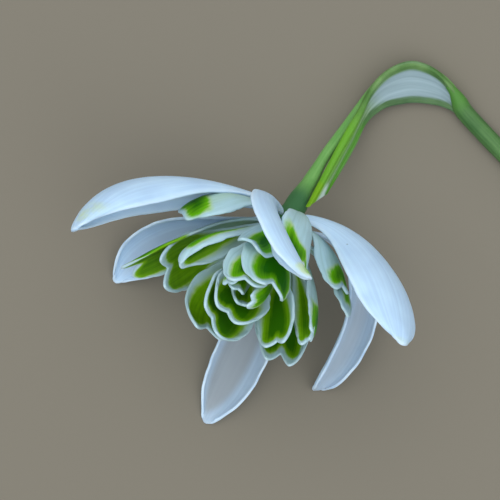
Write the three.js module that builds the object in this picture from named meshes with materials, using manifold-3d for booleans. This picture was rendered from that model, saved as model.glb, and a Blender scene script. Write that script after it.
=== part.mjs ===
// A double snowdrop flower, picked with a short length of stem and laid down.
// Millimetres, +Z up. The surface that it lies on is z = 0, and seen from above +X is to the right.
// The stem and spathe lie along the surface. The bloom stands on the tips of three outer tepals and
// opens to the lower left and upwards. The origin is the middle of the footprint, on the surface.

import * as THREE from "three";
import { mergeVertices } from "three/addons/utils/BufferGeometryUtils.js";
import Module from "manifold-3d";

const wasm = await Module();
wasm.setup();

// Driving dimensions

const BLADE = 0.6; // thickness of a tepal
const GAP = 0.35; // room between two pieces that touch on the plant
const FULL_WIDTH = 7; // of an inner tepal that has its full notch
const LEAST_BEND = 0.8; // a blade is never rolled tighter than this radius
const BLOOM_PLACE = new THREE.Vector3(-3.83, 2.98, 9.6); // where the ovary ends and the tepals begin
const BLOOM_AXIS = new THREE.Vector3(-0.5, -0.66, 0.56).normalize(); // the way that the bloom opens
const ROW_STEP = 0.95; // each row of tepals stands this much further along the receptacle
const RECEPTACLE_RADIUS = 1.05;
const RECEPTACLE_TAPER = 0.08; // loss of radius for each row
const ROWS = 7;
const OVARY_LENGTH = 5;
const OVARY_RADIUS = 1.3;
const OVARY_NECK_RADIUS = 0.9;
const PEDICEL_RADIUS = 0.65;
const SCAPE_RADIUS = 1.05;
const KEEL_RADIUS = 0.45; // the two green ribs of the spathe
const MEMBRANE = 0.6; // thickness of the skin between them

// The run of each stem part, from its lower end up to the bloom.
const SCAPE_PATH = [[27, 3.9, 0.9], [23.6, 7.1, 0.9], [20.2, 10.4, 0.9], [18, 12.7, 0.9], [16.1, 14.8, 0.9]];
const PEDICEL_PATH = [
  [15.9, 15.1, 0.9], [14.6, 17.3, 0.75], [12.8, 18.9, 0.75], [10.7, 19.6, 0.75], [8.8, 19.5, 0.75], [7.1, 18.5, 0.8],
  [5.6, 16.9, 1], [4.3, 15.2, 1.5], [2.9, 13.3, 2.4], [1.4, 11.3, 3.6], [-0.1, 9.2, 5],
];
const UPPER_KEEL_PATH = [
  [15.9, 15.7, 1.5], [14.6, 17.3, 2.2], [12.8, 19.1, 2.3], [10.6, 20, 2.3], [8.8, 19.8, 2.3], [6.9, 18.7, 2.4],
  [5.4, 16.9, 2.6], [4.3, 14.7, 3.1], [3.2, 12.9, 3.7], [2.4, 11.5, 4.4], [0.9, 8.8, 6], [-0.7, 5.9, 8.2],
  [-1.9, 3.8, 10.1],
];
const LOWER_KEEL_PATH = [
  [15.6, 14.6, 0.8], [14.5, 15.3, 0.8], [13, 15.8, 0.8], [10.5, 16.1, 0.8], [8.8, 15.9, 0.9], [7.1, 15.5, 1.1],
  [5.6, 14.5, 1.6], [4.6, 13.4, 2.1], [4, 12.3, 2.6], [3.4, 11, 3.3], [2.2, 8.8, 4.7], [0.9, 6.6, 6.1],
  [0.1, 5.2, 7],
];

// Directions across the bloom: azimuth 0 is the one nearest to straight up, and 90 is level.
const AZIMUTH_0 = new THREE.Vector3(0, 0, 1).addScaledVector(BLOOM_AXIS, -BLOOM_AXIS.z).normalize();
const AZIMUTH_90 = new THREE.Vector3().crossVectors(BLOOM_AXIS, AZIMUTH_0);

// A tepal's root is on the receptacle, by row and azimuth. Its chord to the tip is as long as reach,
// turned from the bloom's axis by flare, and to the side by lean. The midrib bows away from the chord:
// outwards by spring near the root and by hook near the tip, and sideways by sway. The blade is as wide
// as width when flat, each half of it bends inwards through cup, and it turns about its midrib by twist,
// or from rootTwist at its root to twist.

// Outer tepals: long white spoons.
const OUTER_TEPALS = [
  { name: "outer_tepal_left", row: 0, azimuth: 95, flare: 40, lean: -3, reach: 24.5,
    spring: 5.5, hook: 9.5, sway: 1, width: 11.5, cup: 80, twist: 20 },
  { name: "outer_tepal_right", row: 0, azimuth: 311, flare: 58, lean: -15, reach: 21,
    spring: 5, hook: 4.5, sway: 1, width: 10.5, cup: 49, twist: -37, rootTwist: -58 },
  { name: "outer_tepal_low", row: 0, azimuth: 196, flare: 54, lean: 1, reach: 26,
    spring: 4, hook: 3.5, sway: 0.5, width: 8, cup: 75, twist: 8 },
  { name: "outer_tepal_low_left", row: 1, azimuth: 148, flare: 65.5, lean: 0, reach: 21.5,
    spring: 0, hook: 4, sway: -2.5, width: 7.5, cup: 78, twist: -15 },
  { name: "outer_tepal_low_right", row: 1, azimuth: 233, flare: 74, lean: -11.5, reach: 20.5,
    spring: 14, hook: -1, sway: 6, width: 5.5, cup: 94, twist: 52 },
  { name: "outer_tepal_front", row: 1, azimuth: 44, flare: 0, lean: -45, reach: 14,
    spring: 8, hook: 4, sway: 1, width: 8.5, cup: 64, twist: 90, rootTwist: 78 },
];

// Inner tepals: short, notched at the tip, in rows that close on the middle of the bloom. Where notch is
// given, it is how deep the notch is against the usual one.
const INNER_TEPALS = [
  { row: 2, azimuth: 65, flare: 46, lean: 28, reach: 10.5,
    spring: 3, hook: 2.5, sway: -1, width: 5.5, cup: 47, twist: 33, notch: 0.2 },
  { row: 1, azimuth: 344, flare: 31, lean: -19, reach: 9.5,
    spring: 4, hook: 0.5, sway: 0.5, width: 8.5, cup: 44, twist: 25 },
  { row: 2, azimuth: 305, flare: 63, lean: -20, reach: 9.5,
    spring: 3.5, hook: 1, sway: 0, width: 5, cup: 60, twist: -40 },
  { row: 2, azimuth: 222, flare: 37, lean: 11, reach: 14.5,
    spring: 4, hook: 6, sway: -2.5, width: 7, cup: 40, twist: 28 },
  { row: 2, azimuth: 132, flare: 50, lean: 0, reach: 17,
    spring: 3, hook: -0.5, sway: -1, width: 7, cup: 43, twist: 24 },
  { row: 3, azimuth: 277, flare: 66, lean: 2, reach: 11,
    spring: 4, hook: 3, sway: -1, width: 3.5, cup: 43, twist: -46 },
  { row: 3, azimuth: 94, flare: 27, lean: 10, reach: 11.5,
    spring: -0.5, hook: 3, sway: -1, width: 6, cup: 88, twist: -8 },
  { row: 3, azimuth: 23, flare: 32, lean: -4, reach: 8.5,
    spring: 1.5, hook: -1.5, sway: -0.5, width: 5, cup: 53, twist: 8 },
  { row: 3, azimuth: 268, flare: 44, lean: 4, reach: 12,
    spring: 4, hook: 2.5, sway: -2, width: 4, cup: 49, twist: -29, notch: 0.2 },
  { row: 3, azimuth: 249, flare: 37, lean: 18, reach: 13,
    spring: 3.5, hook: 2.5, sway: -2, width: 3, cup: 42, twist: 19 },
  { row: 3, azimuth: 186, flare: 11, lean: 1, reach: 14,
    spring: 5, hook: 6.5, sway: -2, width: 7.5, cup: 27, twist: 0 },
  { row: 3, azimuth: 116, flare: 34, lean: 4, reach: 13,
    spring: 5.5, hook: 4.5, sway: 4.5, width: 8, cup: 34, twist: -10 },
  { row: 4, azimuth: 326, flare: 26, lean: -4, reach: 9,
    spring: 2, hook: -1.5, sway: 0.5, width: 8.5, cup: 50, twist: -13 },
  { row: 4, azimuth: 242, flare: 30, lean: 9, reach: 12,
    spring: 1, hook: 2.5, sway: -1.5, width: 5.5, cup: 35, twist: 11 },
  { row: 4, azimuth: 173, flare: 0, lean: 0, reach: 13,
    spring: 5.5, hook: 3.5, sway: 1, width: 8.5, cup: 33, twist: 25 },
  { row: 5, azimuth: 33, flare: 10, lean: -15, reach: 9,
    spring: 1, hook: -0.5, sway: 0.5, width: 6, cup: 37, twist: 17 },
  { row: 5, azimuth: 189, flare: 0, lean: 4, reach: 10.5,
    spring: 3.5, hook: 2, sway: 0, width: 7.5, cup: 46, twist: 15 },
  { row: 5, azimuth: 280, flare: 7, lean: 11, reach: 9.5,
    spring: 1, hook: 2, sway: -1, width: 3.5, cup: 55, twist: -17 },
  { row: 6, azimuth: 63, flare: 3, lean: -7, reach: 8,
    spring: 1, hook: 0.5, sway: -0.5, width: 3.5, cup: 47, twist: 1 },
  { row: 6, azimuth: 202, flare: 1, lean: 11, reach: 7.5,
    spring: 1, hook: 2, sway: -1, width: 4, cup: 76, twist: 9 },
  { row: 6, azimuth: -7, flare: 1, lean: -3, reach: 7.5,
    spring: -0.5, hook: -1, sway: 1, width: 3.5, cup: 47, twist: 5 },
];

// Half the width of a blade along it, as a share of the whole, and how much it falls short of its full
// length away from the middle line: the outer tepals have a round tip, the inner ones two lobes. The lines
// that split a blade's faces close on a round tip and open towards lobes, so no face folds over there.
const OUTLINES = {
  outer: {
    opens: false,
    half: (u) => 0.1 + 0.4 * smoothstep(0, 0.62, u) - 0.37 * Math.max(0, (u - 0.62) / 0.38) ** 3,
    short: (v) => 0.05 * v ** 2,
  },
  inner: {
    opens: true,
    half: (u) => 0.085 + 0.415 * smoothstep(0.03, 0.72, u) - 0.1 * Math.max(0, (u - 0.72) / 0.28) ** 2,
    short: (v, { width, notch = 1 }) =>
      0.2 * Math.max(0, (Math.abs(v) - 0.45) / 0.55) ** 2 +
      0.13 * notch * Math.min(1, width / FULL_WIDTH) ** 1.5 * Math.max(0, 1 - Math.abs(v) / 0.45) ** 1.3,
  },
};

// Meshes and solids

function smoothstep(low, high, x) {
  const t = THREE.MathUtils.clamp((x - low) / (high - low), 0, 1);
  return t * t * (3 - 2 * t);
}

function solidOf(geometry) {
  const bare = new THREE.BufferGeometry();
  bare.setAttribute("position", geometry.getAttribute("position"));
  if (geometry.index) bare.setIndex(geometry.index);
  const merged = mergeVertices(bare, 1e-4);
  const vertProperties = merged.getAttribute("position").array;
  const triVerts = new Uint32Array(merged.index.array);
  return new wasm.Manifold(new wasm.Mesh({ numProp: 3, vertProperties, triVerts }));
}

function geometryOf(solid) {
  const { vertProperties, triVerts } = solid.getMesh();
  const geometry = new THREE.BufferGeometry();
  geometry.setAttribute("position", new THREE.BufferAttribute(new Float32Array(vertProperties), 3));
  geometry.setIndex(new THREE.BufferAttribute(new Uint32Array(triVerts), 1));
  geometry.computeVertexNormals();
  return geometry;
}

// A closed skin over a grid of rings. point(i, j) gives a place on ring i, and each end is a fan.
function skinnedTube(rings, sides, point, ends) {
  const positions = [];
  for (let i = 0; i < rings; i++) for (let j = 0; j < sides; j++) positions.push(...point(i, j).toArray());
  positions.push(...ends[0].toArray(), ...ends[1].toArray());
  const index = [];
  for (let j = 0; j < sides; j++) {
    const k = (j + 1) % sides;
    for (let i = 0; i < rings - 1; i++) {
      const [a, b] = [i * sides, (i + 1) * sides];
      index.push(a + j, a + k, b + k, a + j, b + k, b + j);
    }
    index.push(rings * sides, k, j);
    index.push(rings * sides + 1, (rings - 1) * sides + j, (rings - 1) * sides + k);
  }
  const geometry = new THREE.BufferGeometry();
  geometry.setAttribute("position", new THREE.BufferAttribute(new Float32Array(positions), 3));
  geometry.setIndex(index);
  return geometry;
}

// A round stalk along a curve. radius(t) gives its thickness from 0 at the start to 1 at the end.
function stalk(curve, radius, steps, sides) {
  const frames = curve.computeFrenetFrames(steps, false);
  const point = (i, j) => {
    const angle = (2 * Math.PI * j) / sides;
    const r = radius(i / steps);
    return curve.getPointAt(i / steps)
      .addScaledVector(frames.normals[i], r * Math.cos(angle))
      .addScaledVector(frames.binormals[i], r * Math.sin(angle));
  };
  return skinnedTube(steps + 1, sides, point, [curve.getPointAt(0), curve.getPointAt(1)]);
}

// Tepals

function meridian(tepal) {
  const [azimuth, flare, lean] = [tepal.azimuth, tepal.flare, tepal.lean].map(THREE.MathUtils.degToRad);
  const mix = (a, p, b, q) => a.clone().multiplyScalar(p).addScaledVector(b, q);
  const away = mix(AZIMUTH_0, Math.cos(azimuth), AZIMUTH_90, Math.sin(azimuth));
  const side = new THREE.Vector3().crossVectors(BLOOM_AXIS, away);
  const radius = RECEPTACLE_RADIUS - RECEPTACLE_TAPER * tepal.row + GAP + BLADE / 2;
  const root = mix(away, radius, BLOOM_AXIS, ROW_STEP * tepal.row).add(BLOOM_PLACE);
  const out = mix(BLOOM_AXIS, Math.cos(flare), away, Math.sin(flare));
  const chord = mix(out, Math.cos(lean), side, Math.sin(lean));
  const back = mix(away, Math.cos(flare), BLOOM_AXIS, -Math.sin(flare));
  const across = mix(side, Math.cos(lean), out, -Math.sin(lean));
  return { root, chord, back, across };
}

function midrib(tepal) {
  const { root, chord, back, across } = meridian(tepal);
  const place = (share, bow, sway) =>
    root.clone().addScaledVector(chord, tepal.reach * share).addScaledVector(back, bow).addScaledVector(across, sway);
  return {
    curve: new THREE.CubicBezierCurve3(
      root, place(0.28, tepal.spring, tepal.sway), place(0.76, tepal.hook, tepal.sway), place(1, 0, 0)),
    across,
  };
}

// A point on the middle surface of a blade: u runs from root to tip, and v from -1 to 1 across.
function bladePoint(tepal, outline, rib, u, v) {
  const q = u * (1 - outline.short(THREE.MathUtils.clamp(v, -1, 1), tepal));
  const along = rib.curve.getTangent(THREE.MathUtils.clamp(q, 0, 1));
  const across = rib.across.clone().addScaledVector(along, -rib.across.dot(along)).normalize();
  const back = new THREE.Vector3().crossVectors(across, along);
  const rootTwist = tepal.rootTwist ?? 0;
  const turn = THREE.MathUtils.degToRad(rootTwist + (tepal.twist - rootTwist) * smoothstep(0, 0.6, u));
  const acrossTurned = across.clone().multiplyScalar(Math.cos(turn)).addScaledVector(back, Math.sin(turn));
  const backTurned = back.multiplyScalar(Math.cos(turn)).addScaledVector(across, -Math.sin(turn));
  const halfWidth = tepal.width * outline.half(u);
  const radius = Math.max(halfWidth / THREE.MathUtils.degToRad(tepal.cup), LEAST_BEND);
  const bend = (halfWidth * v) / radius;
  return rib.curve.getPoint(q)
    .addScaledVector(acrossTurned, radius * Math.sin(bend))
    .addScaledVector(backTurned, -radius * (1 - Math.cos(bend)));
}

// Even stations from 0 to 1, with one more beyond each end where a blade is widened.
function stations(steps, beyond) {
  const even = Array.from({ length: steps + 1 }, (_, i) => i / steps);
  return beyond ? [-beyond, ...even, 1 + beyond] : even;
}

// The solid blade. Its room is the same blade, thicker and wider by the gap, which its neighbours leave.
function blade(tepal, outline, steps, thickness, widen = 0) {
  const rib = midrib(tepal);
  const small = 1e-3; // step of u and v for the slopes of the surface
  const us = stations(steps[0], widen / tepal.reach);
  const vs = stations(steps[1], widen / tepal.width).map((share) => 2 * share - 1);
  const [alongSteps, acrossSteps] = [us.length - 1, vs.length - 1];
  const positions = [];
  const at = (i, j, face) => (i * (acrossSteps + 1) + j) * 2 + face;
  for (const u of us) {
    for (const v of vs) {
      const surface = (du, dv) => bladePoint(tepal, outline, rib, u + du, v + dv);
      const here = surface(0, 0);
      const alongWay = surface(small, 0).sub(surface(-small, 0));
      const acrossWay = surface(0, small).sub(surface(0, -small));
      const normal = acrossWay.cross(alongWay).normalize();
      for (const face of [0.5, -0.5]) {
        positions.push(...here.clone().addScaledVector(normal, thickness * face).toArray());
      }
    }
  }
  const index = [];
  const quad = (a, b, c, d) => index.push(a, b, c, a, c, d);
  for (let i = 0; i < alongSteps; i++) {
    for (let j = 0; j < acrossSteps; j++) {
      const corners = [[i, j], [i, j + 1], [i + 1, j + 1], [i + 1, j]];
      if (outline.opens !== j >= acrossSteps / 2) corners.push(corners.shift());
      const [outside, inside] = [0, 1].map((face) => corners.map(([a, b]) => at(a, b, face)));
      quad(...outside);
      quad(inside[0], inside[3], inside[2], inside[1]);
    }
    quad(at(i, 0, 1), at(i, 0, 0), at(i + 1, 0, 0), at(i + 1, 0, 1));
    quad(at(i, acrossSteps, 0), at(i, acrossSteps, 1), at(i + 1, acrossSteps, 1), at(i + 1, acrossSteps, 0));
  }
  for (let j = 0; j < acrossSteps; j++) {
    quad(at(0, j, 0), at(0, j, 1), at(0, j + 1, 1), at(0, j + 1, 0));
    quad(at(alongSteps, j, 1), at(alongSteps, j, 0), at(alongSteps, j + 1, 0), at(alongSteps, j + 1, 1));
  }
  const geometry = new THREE.BufferGeometry();
  geometry.setAttribute("position", new THREE.BufferAttribute(new Float32Array(positions), 3));
  geometry.setIndex(index);
  return solidOf(geometry);
}

// Stem parts

const curveThrough = (path) => new THREE.CatmullRomCurve3(path.map((p) => new THREE.Vector3(...p)), false, "centripetal");

// The ovary and the receptacle that the tepals stand on, turned about the bloom's axis.
function ovary(grow = 0) {
  const end = ROW_STEP * (ROWS - 0.5);
  const profile = [
    [0, -OVARY_LENGTH - grow],
    [OVARY_NECK_RADIUS, -OVARY_LENGTH - grow],
    [OVARY_NECK_RADIUS + 0.12, -OVARY_LENGTH * 0.8],
    [OVARY_RADIUS - 0.12, -OVARY_LENGTH * 0.45],
    [OVARY_RADIUS, -OVARY_LENGTH * 0.2],
    [OVARY_RADIUS - 0.02, -0.6],
    [OVARY_RADIUS - 0.15, -0.3],
    [RECEPTACLE_RADIUS, -0.1],
    [RECEPTACLE_RADIUS - RECEPTACLE_TAPER * (ROWS - 1), end],
    [0, end + grow],
  ].map(([r, y]) => new THREE.Vector2(r > 0 ? r + grow : 0, y));
  const geometry = new THREE.LatheGeometry(profile, 16);
  geometry.applyQuaternion(new THREE.Quaternion().setFromUnitVectors(new THREE.Vector3(0, 1, 0), BLOOM_AXIS));
  geometry.translate(...BLOOM_PLACE.toArray());
  return solidOf(geometry);
}

function pedicel(grow = 0) {
  const neck = BLOOM_PLACE.clone().addScaledVector(BLOOM_AXIS, -OVARY_LENGTH - GAP + grow);
  const curve = curveThrough([...PEDICEL_PATH, neck.toArray()]);
  const radius = (t) => PEDICEL_RADIUS + grow + (OVARY_NECK_RADIUS - PEDICEL_RADIUS) * smoothstep(0.85, 1, t);
  return solidOf(stalk(curve, radius, 26, 10));
}

function scape() {
  return solidOf(stalk(curveThrough(SCAPE_PATH), () => SCAPE_RADIUS, 8, 14));
}

// The spathe is one skin: across it, two round keels joined by the membrane.
function spathe() {
  const [upper, lower] = [curveThrough(UPPER_KEEL_PATH), curveThrough(LOWER_KEEL_PATH)];
  const rings = 2 * UPPER_KEEL_PATH.length - 1;
  const opening = Math.PI - Math.asin(MEMBRANE / 2 / KEEL_RADIUS);
  const half = [-1, -0.6, -0.2, 0.2, 0.6, 1].map((share) => share * opening);
  const point = (i, j) => {
    const t = i / (rings - 1);
    const [a, b] = [upper.getPoint(t), lower.getPoint(t)];
    const across = b.clone().sub(a).normalize();
    const along = upper.getTangent(t).add(lower.getTangent(t)).normalize();
    const up = new THREE.Vector3().crossVectors(along, across).normalize();
    const outward = j < half.length ? -1 : 1;
    const angle = half[j % half.length];
    const radius = KEEL_RADIUS * (1 - 0.35 * smoothstep(0.85, 1, t));
    return (j < half.length ? a : b)
      .addScaledVector(across, outward * radius * Math.cos(angle))
      .addScaledVector(up, outward * radius * Math.sin(angle));
  };
  const middle = (t) => upper.getPoint(t).add(lower.getPoint(t)).multiplyScalar(0.5);
  return solidOf(skinnedTube(rings, 2 * half.length, point, [middle(0), middle(1)]));
}

// Assembly

const paint = (color) => new THREE.MeshStandardMaterial({ color, roughness: 0.5, metalness: 0 });
const WHITE = paint(0xe9eff6);
const GREEN_MARKED = paint(0xcfdcb8);
const OVARY_GREEN = paint(0x3c7a3c);
const STEM_GREEN = paint(0x6ea35a);
const SPATHE_GREEN = paint(0x7fa860);

// What lies under the surface is cut off, so the tips stand on small flat spots.
const GROUND_SIZE = 120;
const ground = solidOf(new THREE.BoxGeometry(GROUND_SIZE, GROUND_SIZE, GROUND_SIZE).translate(0, 0, -GROUND_SIZE / 2));

const tepalPiece = (name, material, tepal, outline, steps) => ({
  name,
  material,
  solid: blade(tepal, outline, steps, BLADE),
  room: blade(tepal, outline, steps, BLADE + 2 * GAP, GAP),
});
const pieces = [
  { name: "ovary", material: OVARY_GREEN, solid: ovary(), room: ovary(GAP) },
  { name: "pedicel", material: STEM_GREEN, solid: pedicel(), room: pedicel(GAP) },
  { name: "scape", material: STEM_GREEN, solid: scape() },
  { name: "spathe", material: SPATHE_GREEN, solid: spathe() },
  ...OUTER_TEPALS.map((tepal) => tepalPiece(tepal.name, WHITE, tepal, OUTLINES.outer, [13, 8])),
  ...INNER_TEPALS.map((tepal, k) => {
    const name = `inner_tepal_${String(k + 1).padStart(2, "0")}`;
    return tepalPiece(name, GREEN_MARKED, tepal, OUTLINES.inner, [9, 8]);
  }),
];

// Each piece leaves the room that the pieces before it need. A sliver cut loose by that is dropped.
const flower = new THREE.Group();
const taken = [ground];
for (const { name, material, solid, room } of pieces) {
  const cut = taken.reduce((rest, space) => rest.subtract(space), solid);
  const [largest] = cut.decompose().sort((a, b) => b.volume() - a.volume());
  if (room) taken.push(solid, room);
  const mesh = new THREE.Mesh(geometryOf(largest), material);
  mesh.name = name;
  flower.add(mesh);
}

export default flower;
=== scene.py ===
"""A double snowdrop flower, picked with a short stem and laid on a pale surface.

Metres, +Z up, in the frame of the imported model. Lengths written in millimetres are multiplied by MM.
"""

import math
from collections import namedtuple

import bmesh
import bpy
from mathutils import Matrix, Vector, noise


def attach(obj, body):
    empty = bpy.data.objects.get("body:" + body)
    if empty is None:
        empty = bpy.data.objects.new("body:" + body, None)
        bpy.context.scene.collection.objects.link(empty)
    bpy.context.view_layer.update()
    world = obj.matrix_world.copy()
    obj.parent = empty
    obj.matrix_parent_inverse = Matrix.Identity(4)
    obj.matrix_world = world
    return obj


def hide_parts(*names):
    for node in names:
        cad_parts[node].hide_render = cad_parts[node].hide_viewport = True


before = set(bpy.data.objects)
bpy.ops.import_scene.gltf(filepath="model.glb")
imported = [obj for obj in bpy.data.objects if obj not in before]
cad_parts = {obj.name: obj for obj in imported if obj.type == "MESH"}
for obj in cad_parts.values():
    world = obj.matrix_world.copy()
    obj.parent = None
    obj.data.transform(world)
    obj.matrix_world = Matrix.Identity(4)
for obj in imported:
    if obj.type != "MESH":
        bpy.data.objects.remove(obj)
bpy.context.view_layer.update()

MM = 0.001

# Driving dimensions in millimetres, as in the construction

BLOOM_PLACE = Vector((-3.83, 2.98, 9.6))
BLOOM_AXIS = Vector((-0.5, -0.66, 0.56)).normalized()
ROW_STEP = 0.95
ROWS = 7
RECEPTACLE_RADIUS = 1.05
RECEPTACLE_TAPER = 0.08
ROOT_CLEARANCE = 0.65
FULL_WIDTH = 7.0
LEAST_BEND = 0.8
OVARY_LENGTH = 5.0
OVARY_RADIUS = 1.3
OVARY_NECK_RADIUS = 0.9
PEDICEL_RADIUS = 0.65
SCAPE_RADIUS = 1.05
KEEL_RADIUS = 0.45

SCAPE_PATH = [
    (27, 3.9, 0.9), (23.6, 7.1, 0.9), (20.2, 10.4, 0.9), (18, 12.7, 0.9), (16.1, 14.8, 0.9),
]
PEDICEL_PATH = [
    (15.9, 15.1, 0.9), (14.6, 17.3, 0.75), (12.8, 18.9, 0.75), (10.7, 19.6, 0.75),
    (8.8, 19.5, 0.75), (7.1, 18.5, 0.8), (5.6, 16.9, 1), (4.3, 15.2, 1.5), (2.9, 13.3, 2.4),
    (1.4, 11.3, 3.6), (-0.1, 9.2, 5),
]
UPPER_KEEL_PATH = [
    (15.9, 15.7, 1.5), (14.6, 17.3, 2.2), (12.8, 19.1, 2.3), (10.6, 20, 2.3), (8.8, 19.8, 2.3),
    (6.9, 18.7, 2.4), (5.4, 16.9, 2.6), (4.3, 14.7, 3.1), (3.2, 12.9, 3.7), (2.4, 11.5, 4.4),
    (0.9, 8.8, 6), (-0.7, 5.9, 8.2), (-1.9, 3.8, 10.1),
]
LOWER_KEEL_PATH = [
    (15.6, 14.6, 0.8), (14.5, 15.3, 0.8), (13, 15.8, 0.8), (10.5, 16.1, 0.8), (8.8, 15.9, 0.9),
    (7.1, 15.5, 1.1), (5.6, 14.5, 1.6), (4.6, 13.4, 2.1), (4, 12.3, 2.6), (3.4, 11, 3.3),
    (2.2, 8.8, 4.7), (0.9, 6.6, 6.1), (0.1, 5.2, 7),
]

# A place on the receptacle is told by its azimuth round the bloom's axis.
AZIMUTH_0 = (Vector((0, 0, 1)) - BLOOM_AXIS * BLOOM_AXIS.z).normalized()
AZIMUTH_90 = BLOOM_AXIS.cross(AZIMUTH_0)

Tepal = namedtuple(
    "Tepal",
    "row azimuth flare lean reach spring hook sway width cup twist root_twist notch",
    defaults=[0, 1],
)
OUTER_TEPALS = {
    "outer_tepal_left": Tepal(0, 95, 40, -3, 24.5, 5.5, 9.5, 1, 11.5, 80, 20),
    "outer_tepal_right": Tepal(0, 311, 58, -15, 21, 5, 4.5, 1, 10.5, 49, -37, -58),
    "outer_tepal_low": Tepal(0, 196, 54, 1, 26, 4, 3.5, 0.5, 8, 75, 8),
    "outer_tepal_low_left": Tepal(1, 148, 65.5, 0, 21.5, 0, 4, -2.5, 7.5, 78, -15),
    "outer_tepal_low_right": Tepal(1, 233, 74, -11.5, 20.5, 14, -1, 6, 5.5, 94, 52),
    "outer_tepal_front": Tepal(1, 44, 0, -45, 14, 8, 4, 1, 8.5, 64, 90, 78),
}
INNER_TEPALS = {
    "inner_tepal_01": Tepal(2, 65, 46, 28, 10.5, 3, 2.5, -1, 5.5, 47, 33, notch=0.2),
    "inner_tepal_02": Tepal(1, 344, 31, -19, 9.5, 4, 0.5, 0.5, 8.5, 44, 25),
    "inner_tepal_03": Tepal(2, 305, 63, -20, 9.5, 3.5, 1, 0, 5, 60, -40),
    "inner_tepal_04": Tepal(2, 222, 37, 11, 14.5, 4, 6, -2.5, 7, 40, 28),
    "inner_tepal_05": Tepal(2, 132, 50, 0, 17, 3, -0.5, -1, 7, 43, 24),
    "inner_tepal_06": Tepal(3, 277, 66, 2, 11, 4, 3, -1, 3.5, 43, -46, notch=0.1),
    "inner_tepal_07": Tepal(3, 94, 27, 10, 11.5, -0.5, 3, -1, 6, 88, -8),
    "inner_tepal_08": Tepal(3, 23, 32, -4, 8.5, 1.5, -1.5, -0.5, 5, 53, 8),
    "inner_tepal_09": Tepal(3, 268, 44, 4, 12, 4, 2.5, -2, 4, 49, -29, notch=0.2),
    "inner_tepal_10": Tepal(3, 249, 37, 18, 13, 3.5, 2.5, -2, 3, 42, 19),
    "inner_tepal_11": Tepal(3, 186, 11, 1, 14, 5, 6.5, -2, 7.5, 27, 0),
    "inner_tepal_12": Tepal(3, 116, 34, 4, 13, 5.5, 4.5, 4.5, 8, 34, -10),
    "inner_tepal_13": Tepal(4, 326, 26, -4, 9, 2, -1.5, 0.5, 8.5, 50, -13),
    "inner_tepal_14": Tepal(4, 242, 30, 9, 12, 1, 2.5, -1.5, 5.5, 35, 11),
    "inner_tepal_15": Tepal(4, 173, 0, 0, 13, 5.5, 3.5, 1, 8.5, 33, 25),
    "inner_tepal_16": Tepal(5, 33, 10, -15, 9, 1, -0.5, 0.5, 6, 37, 17),
    "inner_tepal_17": Tepal(5, 189, 0, 4, 10.5, 3.5, 2, 0, 7.5, 46, 15),
    "inner_tepal_18": Tepal(5, 280, 7, 11, 9.5, 1, 2, -1, 3.5, 55, -17),
    "inner_tepal_19": Tepal(6, 63, 3, -7, 8, 1, 0.5, -0.5, 3.5, 47, 1),
    "inner_tepal_20": Tepal(6, 202, 1, 11, 7.5, 1, 2, -1, 4, 76, 9),
    "inner_tepal_21": Tepal(6, -7, 1, -3, 7.5, -0.5, -1, 1, 3.5, 47, 5),
}

# A midrib bows by its spring and its hook at these shares of its reach, and the blade's twist is full at
# this share of its length.
SPRING_SHARE = 0.28
HOOK_SHARE = 0.76
TWIST_SHARE = 0.6

# A blade is shorter at its sides than along its midrib. An inner one has two lobes with a notch between
# them, which is shallower in a narrow blade.
SIDE_ROUNDING = 0.05
LOBE_PLACE = 0.45
LOBE_ROUNDING = 0.2
LOBE_POWER = 2
NOTCH_DEPTH = 0.13
NOTCH_POWER = 1.3
NOTCH_WIDTH_POWER = 1.5

# Finer forms than the construction's, in millimetres where they are lengths

BLADE_THICKNESS = 0.34

# The long edges of a blade go in and out by about this share of its half width.
OUTER_RAGGED = 0.012
FRONT_RAGGED = 0.04
INNER_RAGGED = 0.035

# The unevenness of a blade's edge: how often it changes along and across, in two sizes, and how strong the
# finer one is. Nibbles move the edge in and out. Waves move it up and down, and the tip from this share of
# the length on. Both grow from the midrib to the edge with a power of the distance. Each tepal has a seed of
# its own.
Unevenness = namedtuple("Unevenness", "coarse fine fine_share power")
NIBBLES = Unevenness((11, 0.6), (31, 1), 0.6, 4)
WAVES = Unevenness((7, 1.5), (19, 3), 0.5, 3)
TIP_WAVES_START = 0.75
NIBBLE_SEEDS = (9, 5)
SEED_STEP = 3.7
INNER_SEED = 40

# How round the corners are of the lines that run within a blade's edges, and of the start of a green mark.
LINE_CORNER = 0.12
MARK_CORNER = 0.5

# The ovary's neck is a little to the side of the bloom's axis and goes on past the ovary's length, and the
# pedicel ends inside it. Where the ovary swells, and where the seat of the tepals begins, is measured along
# that axis from the bloom's place.
NECK_BEND = Vector((-0.45, 0, 0))
NECK_REACH = 0.5
PEDICEL_REACH = 0.1
SWELL_START = -5.3
SWELL_END = -1.4
SEAT_START = -0.6
SEAT_WIDER = 0.3
OVARY_LOBES = 3
OVARY_LOBE_DEPTH = 0.02
PEDICEL_FLARE_START = 0.92

# Under the fold the scape narrows into the upper keel. It is this much thinner, to have room for its ribs.
SCAPE_END = [(15.5, 15.9, 1.35), (14.9, 16.9, 1.9), (14.2, 17.7, 2.2)]
RIB_ROOM = 0.03
SCAPE_NARROWING = 0.6
SCAPE_NARROWS_AT = 0.6
STALK_RIBS = 6

# The spathe's keels taper at their tips, and the lower one is slimmer. The skin between them sags.
KEEL_TAPER = 0.35
KEEL_TAPER_START = 0.85
LOWER_KEEL_SLIMMER = 0.25
SKIN_HALF = 0.16
SKIN_SAG = 0.35
SAG_FULL = 0.15
SAG_FADES = 0.45
SAG_GONE = 0.7
KEEL_LINE_STEPS = 120

# A tube's seam is merged at this distance in metres, and its ends have caps with so many rings inside them.
MERGE_DISTANCE = 1e-7
CAP_RINGS = 2
CAP_INSET = 0.12

# The step in u and v over which a blade's direction is measured
SLOPE_STEP = 1e-3

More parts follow.
